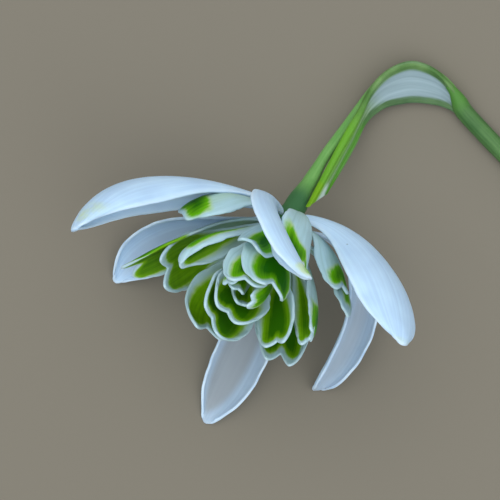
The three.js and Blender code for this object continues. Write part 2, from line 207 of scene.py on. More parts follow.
# Where the green lies on a face of an inner tepal: it begins at the share start of the length, and keeps
# clear of the two long edges and of the tip by these millimetres. Low is the edge at v = -1. With a slant it
# begins this share later on that side, and sooner on the other. Its green gets no darker than it is at most
# millimetres inside. This is partly the mark's own colour and partly painted light: it keeps the green
# lighter on tepals that lie more in the light.
Mark = namedtuple("Mark", "start low high tip slant most", defaults=[0, 9])
USUAL_OUTSIDE = Mark(0.5, 0.6, 0.6, 0.5)
OUTSIDE_MARKS = {
    "inner_tepal_01": Mark(0.67, 0.7, 0.7, 0.45),
    "inner_tepal_02": Mark(0.8, 0.3, 0.4, 0.0, 0.28),
    "inner_tepal_03": Mark(0.68, 0.7, 0.8, 0.5),
    "inner_tepal_05": Mark(0.62, -0.3, 0.6, 0.35),
    "inner_tepal_06": Mark(0.66, 1.1, 1.0, 1.0),
    "inner_tepal_07": Mark(0.1, 0.6, 0.6, 1.8),
    "inner_tepal_08": Mark(0.4, 0.5, 1.5, 0.5),
    "inner_tepal_09": Mark(0.62, 0.5, 0.4, 0.5),
    "inner_tepal_13": Mark(0.42, 0.6, 1.5, 0.45),
    "inner_tepal_16": Mark(0.5, 0.6, 1.1, 0.5),
}
USUAL_INSIDE = Mark(0.22, 0.6, 0.6, 0.6)
INSIDE_MARKS = {
    "inner_tepal_02": Mark(0.8, 0.6, 0.6, 0.6),
    "inner_tepal_04": Mark(0.25, 0.7, 0.9, 0.9),
    # Partly painted light: these three lie more in the light, so most keeps their inside green lighter.
    "inner_tepal_05": Mark(0.62, -0.3, 0.6, 0.35, most=0.9),
    "inner_tepal_08": Mark(0.75, 0.6, 0.6, 0.6),
    "inner_tepal_10": Mark(0.1, 0.3, 0.3, 0.5),
    "inner_tepal_11": Mark(0.22, 0.6, 0.6, 0.6, most=0.6),
    "inner_tepal_12": Mark(0.2, 0.5, 0.7, 0.7, most=0.6),
}

# Painted shade: an outer tepal's inside face is greyer in its cupped middle, where shade falls, from so many
# millimetres inside its edge, and a low tepal is greyer at its rim too, as it lies deeper in shade. The
# columns tell where that begins, where it is full, how grey it is there and at the rim, and how much further
# it keeps from the two long edges.
HollowShade = namedtuple("HollowShade", "start full grey rim low high", defaults=[0, 0, 0])
NO_HOLLOW_SHADE = HollowShade(0, 1, 0)
HOLLOW_SHADES = {
    "outer_tepal_left": HollowShade(0.6, 2.6, 0.5, 0.1),
    "outer_tepal_low": HollowShade(0.6, 1.8, 0.95, 0.45, 0.0, 1.4),
    "outer_tepal_low_left": HollowShade(0.6, 2.6, 0.4, 0.05, 0.8, 0.0),
    "outer_tepal_low_right": HollowShade(0.8, 2.5, 0.75, 0.45),
}

# A yellow-green smudge on an outer tepal: it begins, is full, fades and ends at these shares of the length,
# lies round v = side, and is this strong.
Smudge = namedtuple("Smudge", "start full fading end side strength", defaults=[0, 1])
NO_SMUDGE = Smudge(0, 1, 0, 1, strength=0)
SMUDGES = {
    "outer_tepal_left": Smudge(0.8, 0.93, 0.95, 1, -0.35),
    "outer_tepal_right": Smudge(0.93, 0.98, 1, 1.1),
    "outer_tepal_front": Smudge(0.86, 0.93, 0.96, 1.0, strength=3),
}


# Shapes

def smoothstep(low, high, x):
    t = min(1.0, max(0.0, (x - low) / (high - low)))
    return t * t * (3 - 2 * t)


def outer_short(v, _tepal):
    """How much shorter an outer blade is at v than along its midrib, as a share of its length."""
    return SIDE_ROUNDING * v * v


def inner_short(v, tepal):
    """The same for an inner blade, with its lobes and its notch."""
    lobe = LOBE_ROUNDING * max(0.0, (abs(v) - LOBE_PLACE) / (1 - LOBE_PLACE)) ** LOBE_POWER
    depth = NOTCH_DEPTH * tepal.notch * min(1.0, tepal.width / FULL_WIDTH) ** NOTCH_WIDTH_POWER
    return lobe + depth * max(0.0, 1 - abs(v) / LOBE_PLACE) ** NOTCH_POWER


# The outline of a blade, for a width of 1: half the width at its root, how much that swells, the shares of
# the length where the swelling begins and ends, and what the tip takes off again, and how steeply.
Outline = namedtuple("Outline", "root swell begins widest tip_loss tip_power")

# What one kind of tepal shares: its outline, how its sides shorten, its steps along and across, and how far
# its edge waves.
Form = namedtuple("Form", "outline short steps ripple")
OUTER_FORM = Form(Outline(0.1, 0.4, 0, 0.62, 0.37, 3), outer_short, (46, 26), 0.2)
INNER_FORM = Form(Outline(0.085, 0.415, 0.03, 0.72, 0.1, 2), inner_short, (34, 26), 0.16)


def half_width(tepal, form, u):
    """Half the width of a blade at share u of its length, in millimetres."""
    outline = form.outline
    tip = max(0.0, (u - outline.widest) / (1 - outline.widest)) ** outline.tip_power
    swell = outline.swell * smoothstep(outline.begins, outline.widest, u)
    return tepal.width * (outline.root + swell - outline.tip_loss * tip)


def midrib(tepal):
    """The four control points of the midrib, and the direction across the blade, in millimetres."""
    azimuth, flare, lean = (math.radians(angle) for angle in (tepal.azimuth, tepal.flare, tepal.lean))
    away = AZIMUTH_0 * math.cos(azimuth) + AZIMUTH_90 * math.sin(azimuth)
    side = BLOOM_AXIS.cross(away)
    radius = RECEPTACLE_RADIUS - RECEPTACLE_TAPER * tepal.row + ROOT_CLEARANCE
    root = BLOOM_PLACE + away * radius + BLOOM_AXIS * (ROW_STEP * tepal.row)
    out = BLOOM_AXIS * math.cos(flare) + away * math.sin(flare)
    chord = out * math.cos(lean) + side * math.sin(lean)
    back = away * math.cos(flare) - BLOOM_AXIS * math.sin(flare)
    across = side * math.cos(lean) - out * math.sin(lean)

    def place(share, bow, sway):
        return root + chord * (tepal.reach * share) + back * bow + across * sway

    springing = place(SPRING_SHARE, tepal.spring, tepal.sway)
    hooking = place(HOOK_SHARE, tepal.hook, tepal.sway)
    return [root, springing, hooking, place(1, 0, 0)], across


def bezier(controls, q):
    """A place on a cubic curve and its direction there."""
    a, b, c, d = controls
    p = 1 - q
    place = a * p**3 + b * (3 * p * p * q) + c * (3 * p * q * q) + d * q**3
    slope = (b - a) * (3 * p * p) + (c - b) * (6 * p * q) + (d - c) * (3 * q * q)
    return place, slope.normalized()


def blade_point(tepal, rib, form, u, v):
    """A point on the middle surface of a blade: u runs from root to tip, and v from -1 to 1 across."""
    controls, side = rib
    place, along = bezier(controls, u * (1 - form.short(v, tepal)))
    across = (side - along * side.dot(along)).normalized()
    back = across.cross(along)
    twist = tepal.root_twist + (tepal.twist - tepal.root_twist) * smoothstep(0, TWIST_SHARE, u)
    turn = math.radians(twist)
    across_turned = across * math.cos(turn) + back * math.sin(turn)
    back_turned = back * math.cos(turn) - across * math.sin(turn)
    half = half_width(tepal, form, u)
    radius = max(half / math.radians(tepal.cup), LEAST_BEND)
    bend = half * v / radius
    return place + across_turned * (radius * math.sin(bend)) - back_turned * (radius * (1 - math.cos(bend)))


def new_object(name, mesh):
    piece = bpy.data.objects.new(name, mesh)
    bpy.context.scene.collection.objects.link(piece)
    return piece


def add_values(mesh, name, values):
    mesh.attributes.new(name, "FLOAT", "POINT").data.foreach_set("value", values)


def uneven(u, v, kind, coarse_seed, fine_seed):
    """Smooth noise over a blade in two sizes."""
    coarse = noise.noise(Vector((u * kind.coarse[0], v * kind.coarse[1], coarse_seed)))
    fine = noise.noise(Vector((u * kind.fine[0], v * kind.fine[1], fine_seed)))
    return coarse + kind.fine_share * fine


def blade_mesh(name, tepal, form, ragged, seed):
    """A grid bent to the blade, with its edge softly waved. Returns the mesh and each vertex's u and v."""
    rib = midrib(tepal)
    bm = bmesh.new()
    bm.loops.layers.uv.new("along_across")
    bmesh.ops.create_grid(bm, x_segments=form.steps[0], y_segments=form.steps[1], size=1, calc_uvs=True)
    places = []
    for vertex in bm.verts:
        u, v = (vertex.co.x + 1) / 2, vertex.co.y
        places.append((u, v))
        nibble = uneven(u, v, NIBBLES, seed + NIBBLE_SEEDS[0], seed + NIBBLE_SEEDS[1])
        v *= 1 + ragged * nibble * abs(v) ** NIBBLES.power
        here = blade_point(tepal, rib, form, u, v)
        if u + SLOPE_STEP > 1:
            along = here - blade_point(tepal, rib, form, u - SLOPE_STEP, v)
        else:
            along = blade_point(tepal, rib, form, u + SLOPE_STEP, v) - here
        across = blade_point(tepal, rib, form, u, v + SLOPE_STEP) - here
        normal = across.cross(along).normalized()
        edge = max(abs(v) ** WAVES.power, smoothstep(TIP_WAVES_START, 1, u))
        here += normal * (form.ripple * edge * uneven(u, v, WAVES, seed, seed))
        here.z = max(here.z, BLADE_THICKNESS / 2)
        vertex.co = here * MM
    bmesh.ops.reverse_faces(bm, faces=bm.faces)
    mesh = bpy.data.meshes.new(name)
    bm.to_mesh(mesh)
    bm.free()
    return mesh, places


def rounded(piece):
    rounding = piece.modifiers.new("rounding", "SUBSURF")
    rounding.levels = rounding.render_levels = 1
    return piece


def smooth(mesh):
    for polygon in mesh.polygons:
        polygon.use_smooth = True


def finish_blade(name, mesh, materials):
    """Gives the sheet its thickness, with an outer, an inner and an edge finish."""
    for material in materials:
        mesh.materials.append(material)
    smooth(mesh)
    piece = new_object(name, mesh)
    solidify = piece.modifiers.new("thickness", "SOLIDIFY")
    solidify.thickness = BLADE_THICKNESS * MM
    solidify.offset = 0
    solidify.use_rim = True
    solidify.material_offset = 1
    solidify.material_offset_rim = 2
    return rounded(piece)


def soft_least(soft, *values):
    """The least of some lengths, with the corner between them rounded."""
    least = min(values)
    return least - soft * math.log(sum(math.exp((least - value) / soft) for value in values))


def edge_distance(tepal, form, u, v, low=0.0, high=0.0, tip=0.0):
    """How far a place on a blade is inside lines that run this far within its edges, in millimetres."""
    half = half_width(tepal, form, u)
    to_tip = tepal.reach * (1 - u) * (1 - form.short(v, tepal))
    return soft_least(LINE_CORNER, half * (1 + v) - low, half * (1 - v) - high, to_tip - tip)


# The strength of the painted shade at a place on an outer tepal's inside face
def hollow_shade_depth(tepal, hollow_shade, u, v):
    inside = edge_distance(tepal, OUTER_FORM, u, v, hollow_shade.low, hollow_shade.high)
    return hollow_shade.rim + (hollow_shade.grey - hollow_shade.rim) * smoothstep(hollow_shade.start, hollow_shade.full, inside)


def smudge_strength(smudge, u, v):
    begun = smoothstep(smudge.start, smudge.full, u)
    faded = smoothstep(smudge.fading, smudge.end, u)
    return smudge.strength * begun * (1 - faded) * max(0.0, 1 - abs(v - smudge.side))


def mark_depth(tepal, mark, u, v):
    """How far a place is inside a green mark, in millimetres."""
    inside = edge_distance(tepal, INNER_FORM, u, v, mark.low, mark.high, mark.tip)
    from_start = (u - mark.start + mark.slant * v) * tepal.reach
    # Partly painted light: most keeps the green of a tepal that lies more in the light from getting deeper.
    return min(mark.most, soft_least(MARK_CORNER, inside, from_start))


def outer_tepal(node, tepal, materials, seed):
    name = node + "_petal"
    ragged = FRONT_RAGGED if node == "outer_tepal_front" else OUTER_RAGGED
    mesh, places = blade_mesh(name, tepal, OUTER_FORM, ragged, seed)
    hollow_shade = HOLLOW_SHADES.get(node, NO_HOLLOW_SHADE)
    smudge = SMUDGES.get(node, NO_SMUDGE)
    add_values(mesh, "margin", [edge_distance(tepal, OUTER_FORM, u, v) for u, v in places])
    # Painted shade, for the cupped middle of the inside face and the rim of a low tepal
    add_values(mesh, "hollow_shade", [hollow_shade_depth(tepal, hollow_shade, u, v) for u, v in places])
    add_values(mesh, "tinge", [smudge_strength(smudge, u, v) for u, v in places])
    return finish_blade(name, mesh, materials)


def inner_tepal(node, tepal, materials, seed):
    name = node + "_petal"
    mesh, places = blade_mesh(name, tepal, INNER_FORM, INNER_RAGGED, seed)
    outside = OUTSIDE_MARKS.get(node, USUAL_OUTSIDE)
    inside = INSIDE_MARKS.get(node, USUAL_INSIDE)
    add_values(mesh, "margin", [edge_distance(tepal, INNER_FORM, u, v) for u, v in places])
    add_values(mesh, "green_outside", [mark_depth(tepal, outside, u, v) for u, v in places])
    add_values(mesh, "green_inside", [mark_depth(tepal, inside, u, v) for u, v in places])
    return finish_blade(name, mesh, materials)


def spline(path, t):
    """A place at share t of a smooth line through the points of a path, and its direction."""
    points = [Vector(p) for p in path]
    points = [points[0] * 2 - points[1], *points, points[-1] * 2 - points[-2]]
    spans = len(path) - 1
    k = min(int(t * spans), spans - 1)
    s = t * spans - k
    a, b, c, d = points[k:k + 4]
    first = c - a
    second = 2 * a - 5 * b + 4 * c - d
    third = 3 * b - a - 3 * c + d
    place = 0.5 * (2 * b + first * s + second * s * s + third * s**3)
    slope = 0.5 * (first + 2 * second * s + 3 * third * s * s)
    return place, slope.normalized()


def tube_mesh(name, rings, sides, point):
    """A closed tube. point(t, angle) gives a place on it, with t from 0 to 1 along it."""
    bm = bmesh.new()
    bm.loops.layers.uv.new("along_across")
    bmesh.ops.create_grid(bm, x_segments=rings, y_segments=sides, size=1, calc_uvs=True)
    for vertex in bm.verts:
        place = point((vertex.co.x + 1) / 2, math.pi * (vertex.co.y + 1))
        place.z = max(place.z, 0)
        vertex.co = place * MM
    bmesh.ops.remove_doubles(bm, verts=bm.verts, dist=MERGE_DISTANCE)
    ends = [edge for edge in bm.edges if edge.is_boundary]
    caps = bmesh.ops.holes_fill(bm, edges=ends, sides=0)["faces"]
    for _ in range(CAP_RINGS):
        bmesh.ops.inset_individual(bm, faces=caps, thickness=CAP_INSET * MM, use_even_offset=True)
    bmesh.ops.recalc_face_normals(bm, faces=bm.faces)
    mesh = bpy.data.meshes.new(name)
    bm.to_mesh(mesh)
    bm.free()
    smooth(mesh)
    return mesh


def finish_tube(name, mesh, material):
    mesh.materials.append(material)
    return rounded(new_object(name, mesh))


def stalk(name, path, radius, rings, sides, rib_depth, material):
    """A round stalk with shallow lengthwise ribs. radius(t) is its thickness along it."""

    def point(t, angle):
        place, along = spline(path, t)
        side = along.cross(Vector((0, 0, 1))).normalized()
        up = side.cross(along)
        r = radius(t) * (1 + rib_depth * math.cos(STALK_RIBS * angle))
        return place + side * (r * math.cos(angle)) + up * (r * math.sin(angle))

    return finish_tube(name, tube_mesh(name, rings, sides, point), material)


def ovary(material):
    """The ovary swells below the bloom, and the receptacle goes on up through the tepals."""
    start = -OVARY_LENGTH - NECK_REACH
    end = ROW_STEP * (ROWS - 0.5)

    def radius(y):
        swelling = smoothstep(SWELL_START, SWELL_END, y)
        swell = OVARY_NECK_RADIUS + (OVARY_RADIUS - OVARY_NECK_RADIUS) * swelling
        seat = RECEPTACLE_RADIUS + SEAT_WIDER - RECEPTACLE_TAPER * max(0.0, y) / ROW_STEP
        return swell + (seat - swell) * smoothstep(SEAT_START, 0, y)

    def point(t, angle):
        y = start + t * (end - start)
        r = radius(y) * (1 + OVARY_LOBE_DEPTH * math.cos(OVARY_LOBES * angle))
        middle = BLOOM_PLACE + BLOOM_AXIS * y + NECK_BEND * smoothstep(0, -OVARY_LENGTH, y)
        return middle + AZIMUTH_0 * (r * math.cos(angle)) + AZIMUTH_90 * (r * math.sin(angle))

    return finish_tube("ovary_green", tube_mesh("ovary_green", rings=40, sides=28, point=point), material)


def nearest_on(mesh, path):
    """How far each vertex is from a smooth line, in millimetres, and the nearest share of that line."""
    line = [spline(path, k / KEEL_LINE_STEPS)[0] for k in range(KEEL_LINE_STEPS + 1)]
    distances = []
    shares = []
    for vertex in mesh.vertices:
        here = vertex.co / MM
        distance, k = min(((here - place).length, k) for k, place in enumerate(line))
        distances.append(distance)
        shares.append(k / KEEL_LINE_STEPS)
    return distances, shares


def spathe(material):
    """Two green keels joined by a thin skin: one closed form with a dog-bone section."""

    def point(t, angle):
        a, along_a = spline(UPPER_KEEL_PATH, t)
        b, along_b = spline(LOWER_KEEL_PATH, t)
        span = (b - a).length
        across = (b - a).normalized()
        up = (along_a + along_b).normalized().cross(across).normalized()
        s = math.cos(angle)
        keel = KEEL_RADIUS * (1 - KEEL_TAPER * smoothstep(KEEL_TAPER_START, 1, t))
        keel *= 1 - LOWER_KEEL_SLIMMER * smoothstep(0, 0.5, s)
        side = 1 if math.sin(angle) >= 0 else -1
        reach = span / 2 + keel
        x = reach * s
        inside = reach - abs(x)
        round_part = math.sqrt(max(0.0, keel * keel - (keel - min(inside, 2 * keel)) ** 2))
        height = max(round_part, SKIN_HALF if inside > keel else 0.0)
        sagging = smoothstep(0, SAG_FULL, t) * (1 - smoothstep(SAG_FADES, SAG_GONE, t))
        sag = SKIN_SAG * math.sin(math.pi * (s + 1) / 2) * sagging
        return (a + b) / 2 + across * x + up * (side * height - sag)

    mesh = tube_mesh("spathe_skin", rings=90, sides=40, point=point)
    from_upper, _ = nearest_on(mesh, UPPER_KEEL_PATH)
    from_lower, along = nearest_on(mesh, LOWER_KEEL_PATH)
    add_values(mesh, "from_upper", from_upper)
    add_values(mesh, "from_lower", from_lower)
    add_values(mesh, "along", along)
    return finish_tube("spathe_skin", mesh, material)


# Colours

def linear_light(value):
    return value / 12.92 if value <= 0.04 else ((value + 0.055) / 1.055) ** 2.4


def rgb(red, green, blue):
    """An sRGB colour, 0 to 255, as linear light."""
    return tuple(linear_light(value / 255) for value in (red, green, blue))


PETAL_WHITE = rgb(194, 224, 250)
PETAL_SHADE = rgb(170, 200, 230)
PETAL_EDGE = rgb(208, 231, 252)
# Painted shade, for the cupped middle of an outer tepal's inside face and the rim of a low one
PAINTED_HOLLOW_SHADE = rgb(145, 150, 152)
SMUDGE_YELLOW = rgb(196, 216, 120)
SMUDGE_GREEN = rgb(124, 184, 44)
SPECK_GREY = rgb(90, 110, 120)

INNER_WHITE = rgb(178, 212, 222)
INNER_SHADE = rgb(150, 184, 188)
INNER_EDGE = rgb(188, 215, 226)
INNER_ROOT = rgb(136, 168, 134)
GREEN_THROUGH = rgb(150, 186, 140)
GREEN_SOFT = rgb(164, 196, 84)
GREEN_BRIGHT = rgb(96, 166, 4)
GREEN_DEEP = rgb(32, 98, 2)
GREEN_OLIVE = rgb(116, 170, 10)
# Partly painted shade: the inside green goes this deep on the tepals in the middle of the bloom, where less
# light falls.
GREEN_INSIDE = rgb(48, 106, 2)

STEM_LIGHT = rgb(122, 172, 98)
STEM_DARK = rgb(88, 146, 70)
OVARY_NECK = rgb(58, 106, 64)
SCAPE_LIGHT = rgb(92, 132, 76)
SCAPE_DARK = rgb(56, 98, 52)
SCAPE_FOLD = rgb(80, 132, 58)

SKIN_BLUE_DARK = rgb(128, 150, 156)
SKIN_BLUE_LIGHT = rgb(156, 178, 186)
SKIN_GREEN_DARK = rgb(96, 134, 84)
SKIN_GREEN_LIGHT = rgb(150, 176, 140)
SKIN_TIP = rgb(178, 200, 190)
UPPER_KEEL_DARK = rgb(76, 116, 58)
UPPER_KEEL_LIGHT = rgb(114, 150, 92)
UPPER_KEEL_FRESH = rgb(100, 160, 42)
UPPER_KEEL_TIP = rgb(112, 164, 26)
LOWER_KEEL_DARK = rgb(62, 96, 56)
LOWER_KEEL_LIGHT = rgb(88, 122, 78)
LOWER_KEEL_FRESH = rgb(70, 132, 24)

FLOOR_GREY = rgb(123, 118, 106)

# How a finish changes softly, from one strength at a low value to another at a high one. Values are
# millimetres inside an edge or a mark, or shares of a length.
Fade = namedtuple("Fade", "low high at_low at_high", defaults=[0.0, 1.0])
SMUDGE_PALE_FADE = Fade(0.15, 0.6, 0.0, 0.6)
SMUDGE_GREEN_FADE = Fade(0.6, 1.4, 0.0, 0.85)
PETAL_EDGE_FADE = Fade(0.1, 0.7, 0.6, 0.0)
INNER_EDGE_FADE = Fade(0.05, 0.5, 0.5, 0.0)
OUTSIDE_ROOT_FADE = Fade(0.15, 0.55, 0.4, 0.0)
INSIDE_ROOT_FADE = Fade(0.2, 0.7, 0.85, 0.0)
THROUGH_FADE = Fade(0.2, 1.4, 0.0, 0.4)
MARK_FADE = Fade(-0.25, 0.35)
RIM_MARK_FADE = Fade(-0.1, 0.2)
SPECK_FADE = Fade(0.03, 0.06, 1.0, 0.0)
SCAPE_FOLD_FADE = Fade(0.5, 0.8)
OVARY_NECK_FADE = Fade(0.02, 0.32)
SKIN_GREEN_FADE = Fade(0.4, 0.55)
SKIN_TIP_FADE = Fade(0.93, 0.99)
UPPER_FRESH_FADE = Fade(0.45, 0.75)
UPPER_TIP_FADE = Fade(0.97, 1.0)
LOWER_FRESH_FADE = Fade(0.5, 0.7)
UPPER_KEEL_FADE = Fade(0.6, 1.05)
LOWER_KEEL_FADE = Fade(0.45, 0.85)

# Sizes of the patterns: so many patches or cells in a metre
PETAL_CLOUDS = 260.0
EDGE_CLOUDS = 500.0
EDGE_GRAIN = 1400.0
SMUDGE_GRAIN = 700.0
BORDER_GRAIN = 900.0
STEM_CLOUDS = 300.0
SPATHE_CLOUDS = 350.0
SPECK_CELLS = 420.0

# Each cell has a number from 0 to 1. Those above this one have a speck, of this strength.
SPECK_CHOICE = 0.93
SPECK_STRENGTH = 0.55

# How much of each a finish has: the grey of the painted shade in a cupped outer tepal, streaks in the tone,
# blur and streaks in the border of the green, its darkening with each millimetre inside, its stripes, and
# streaks beside the keels.
HOLLOW_SHADE_STRENGTH = 0.9
STREAK_SHARE = 0.6
BORDER_BLUR = 0.4
BORDER_STREAKS = 0.3
GREEN_PER_MM = 0.5
GREEN_STREAKS = 0.5
KEEL_STREAKS = 0.4

# How far light spreads under a surface: for red, green and blue, of this many millimetres
LIGHT_SPREAD = (1.0, 1.0, 0.9)
LIGHT_DEPTH = 0.5


# Materials

class Nodes:
    """Builds one material's node tree."""

    def __init__(self, name, roughness, subsurface=0.0, specular=0.2):
        self.material = bpy.data.materials.new(name)
        self.material.use_nodes = True
        self.tree = self.material.node_tree
        self.tree.nodes.clear()
        self.shader = self.add("ShaderNodeBsdfPrincipled")
        self.shader.inputs["Roughness"].default_value = roughness
        self.shader.inputs["Specular IOR Level"].default_value = specular
        self.shader.inputs["Subsurface Weight"].default_value = subsurface
        self.shader.inputs["Subsurface Radius"].default_value = LIGHT_SPREAD
        self.shader.inputs["Subsurface Scale"].default_value = LIGHT_DEPTH * MM
        output = self.add("ShaderNodeOutputMaterial")
        self.link(self.shader.outputs["BSDF"], output.inputs["Surface"])

    def add(self, kind, **settings):
        node = self.tree.nodes.new(kind)
        for key, value in settings.items():
            setattr(node, key, value)
        return node

    def link(self, source, target):
        self.tree.links.new(source, target)

    def feed(self, target, value):
        """Links a socket, or sets a plain value."""
        if isinstance(value, bpy.types.NodeSocket):
            self.link(value, target)
        else:
            target.default_value = value

    def value(self, name):
        return self.add("ShaderNodeAttribute", attribute_name=name).outputs["Fac"]

    def uv(self):
        return self.add("ShaderNodeUVMap", uv_map="along_across").outputs["UV"]

    def length_share(self):
        split = self.add("ShaderNodeSeparateXYZ")
        self.link(self.uv(), split.inputs["Vector"])
        return split.outputs["X"]

    def place(self):
        return self.add("ShaderNodeTexCoord").outputs["Object"]

    def noise(self, vector, scale, detail=2.0):
        node = self.add("ShaderNodeTexNoise")
        self.link(vector, node.inputs["Vector"])
        node.inputs["Scale"].default_value = scale
        node.inputs["Detail"].default_value = detail
        return node.outputs["Fac"]

    def streaks(self, along, across):
        """Noise drawn out lengthwise: it changes so many times along a piece and across it."""
        mapping = self.add("ShaderNodeMapping")
        self.link(self.uv(), mapping.inputs["Vector"])
        mapping.inputs["Scale"].default_value = (along, across, 1)
        return self.noise(mapping.outputs["Vector"], 1.0, 3.0)

    def math(self, operation, a, b=0.0, c=0.0):
        node = self.add("ShaderNodeMath", operation=operation)
        for target, value in zip(node.inputs, (a, b, c)):
            self.feed(target, value)
        return node.outputs[0]

    def tone(self, streaks, clouds):
        """Streaks and softer clouds together, from 0 to 1."""
        rest = self.math("MULTIPLY", clouds, 1 - STREAK_SHARE)
        return self.math("MULTIPLY_ADD", streaks, STREAK_SHARE, rest)

    def about_zero(self, value, spread):
        """Brings noise from 0 to 1 to lie round zero, this wide in all."""
        return self.math("MULTIPLY_ADD", value, spread, -spread / 2)

    def ramp(self, fac, *stops):
        """Colours at places: each stop is (place, colour)."""
        node = self.add("ShaderNodeValToRGB")
        self.link(fac, node.inputs["Fac"])
        elements = node.color_ramp.elements
        for k, (place, color) in enumerate(stops):
            element = elements[k] if k < 2 else elements.new(place)
            element.position = place
            element.color = (*color, 1)
        return node.outputs["Color"]

    def fade(self, value, change):
        """Turns a value into a strength, by one of the Fade rows."""
        node = self.add("ShaderNodeMapRange", interpolation_type="SMOOTHSTEP")
        for key, number in zip(("From Min", "From Max", "To Min", "To Max"), change):
            node.inputs[key].default_value = number
        self.link(value, node.inputs["Value"])
        return node.outputs["Result"]

    def mix(self, fac, a, b):
        node = self.add("ShaderNodeMix", data_type="RGBA")
        self.feed(node.inputs["Factor"], fac)
        for target, value in ((node.inputs["A"], a), (node.inputs["B"], b)):
            self.feed(target, value if isinstance(value, bpy.types.NodeSocket) else (*value, 1))
        return node.outputs["Result"]

    def red(self, color):
        split = self.add("ShaderNodeSeparateColor")
        self.link(color, split.inputs["Color"])
        return split.outputs["Red"]

    def color(self, socket):
        self.link(socket, self.shader.inputs["Base Color"])

    def bump(self, height, strength, distance):
        node = self.add("ShaderNodeBump")
        node.inputs["Strength"].default_value = strength
        node.inputs["Distance"].default_value = distance * MM
        self.link(height, node.inputs["Height"])
        self.link(node.outputs["Normal"], self.shader.inputs["Normal"])


def petal_ground(nodes, veins, shade, white):
    """White with faint lengthwise veins, cooler in patches. Returns the colour and the veins."""
    lines = nodes.streaks(1.2, veins)
    tone = nodes.tone(lines, nodes.noise(nodes.place(), PETAL_CLOUDS))
    return nodes.ramp(tone, (0.3, shade), (0.62, white)), lines


def specks(nodes, color):
    """A few tiny dark specks."""
    cells = nodes.add("ShaderNodeTexVoronoi")
    nodes.link(nodes.place(), cells.inputs["Vector"])
    cells.inputs["Scale"].default_value = SPECK_CELLS
    near = nodes.fade(cells.outputs["Distance"], SPECK_FADE)
    chosen = nodes.math("GREATER_THAN", nodes.red(cells.outputs["Color"]), SPECK_CHOICE)
    strength = nodes.math("MULTIPLY", nodes.math("MULTIPLY", near, chosen), SPECK_STRENGTH)
    return nodes.mix(strength, color, SPECK_GREY)


def white_face(name, veins, hollow_shade):
    """White, with a smudge, a lighter edge and, where hollow_shade is true, painted shade in its cupped
    middle.
    """
    nodes = Nodes(name, roughness=0.5, subsurface=0.35)
    color, lines = petal_ground(nodes, veins, PETAL_SHADE, PETAL_WHITE)
    tinge = nodes.math("MULTIPLY", nodes.value("tinge"), nodes.noise(nodes.place(), SMUDGE_GRAIN, 3.0))
    color = nodes.mix(nodes.fade(tinge, SMUDGE_PALE_FADE), color, SMUDGE_YELLOW)
    color = nodes.mix(nodes.fade(tinge, SMUDGE_GREEN_FADE), color, SMUDGE_GREEN)
    color = nodes.mix(nodes.fade(nodes.value("margin"), PETAL_EDGE_FADE), color, PETAL_EDGE)
    if hollow_shade:
        # Painted shade: the cupped middle is mixed towards grey.
        grey = nodes.math("MULTIPLY", nodes.value("hollow_shade"), HOLLOW_SHADE_STRENGTH)
        color = nodes.mix(grey, color, PAINTED_HOLLOW_SHADE)
    nodes.color(specks(nodes, color))
    nodes.bump(lines, strength=0.25, distance=0.12)
    return nodes.material


def marked_face(name, mark, bright, deep, root, through=None):
    """White with a green mark, whose border is ragged along the veins. The mark on the other face, named
    by through, shines through a little. Root tells where the root is greener."""
    nodes = Nodes(name, roughness=0.48, subsurface=0.3, specular=0.1)
    color, lines = petal_ground(nodes, 14.0, INNER_SHADE, INNER_WHITE)
    color = nodes.mix(nodes.fade(nodes.length_share(), root), color, INNER_ROOT)
    if through:
        color = nodes.mix(nodes.fade(nodes.value(through), THROUGH_FADE), color, GREEN_THROUGH)
    color = nodes.mix(nodes.fade(nodes.value("margin"), INNER_EDGE_FADE), color, INNER_EDGE)
    blur = nodes.about_zero(nodes.noise(nodes.place(), BORDER_GRAIN, 3.0), BORDER_BLUR)
    depth = nodes.math("ADD", nodes.value(mark), blur)
    depth = nodes.math("ADD", depth, nodes.about_zero(lines, BORDER_STREAKS))
    shade = nodes.math("MULTIPLY_ADD", depth, GREEN_PER_MM, nodes.about_zero(lines, GREEN_STREAKS))
    green = nodes.ramp(shade, (0.0, GREEN_SOFT), (0.16, bright), (0.6, deep))
    nodes.color(specks(nodes, nodes.mix(nodes.fade(depth, MARK_FADE), color, green)))
    nodes.bump(lines, strength=0.3, distance=0.12)
    return nodes.material


def edge_face(name, shade, white, mark=None):
    """White, or soft green where the mark reaches over the edge."""
    nodes = Nodes(name, roughness=0.42, subsurface=0.35)
    color = nodes.ramp(nodes.noise(nodes.place(), EDGE_CLOUDS), (0.3, shade), (0.65, white))
    if mark:
        color = nodes.mix(nodes.fade(nodes.value(mark), RIM_MARK_FADE), color, GREEN_OLIVE)
    nodes.color(color)
    nodes.bump(nodes.noise(nodes.place(), EDGE_GRAIN), strength=0.2, distance=0.08)
    return nodes.material


def green_stem(name, light, dark, ribs, far_color=None, far=None):
    """Streaked green; where far is given, it turns to another colour between those shares of its length."""
    nodes = Nodes(name, roughness=0.42, subsurface=0.15)
    lines = nodes.streaks(3.0, ribs)
    tone = nodes.tone(lines, nodes.noise(nodes.place(), STEM_CLOUDS, 3.0))
    color = nodes.ramp(tone, (0.3, dark), (0.68, light))
    if far:
        color = nodes.mix(nodes.fade(nodes.length_share(), far), color, far_color)
    nodes.color(color)
    nodes.bump(lines, strength=0.35, distance=0.1)
    return nodes.material


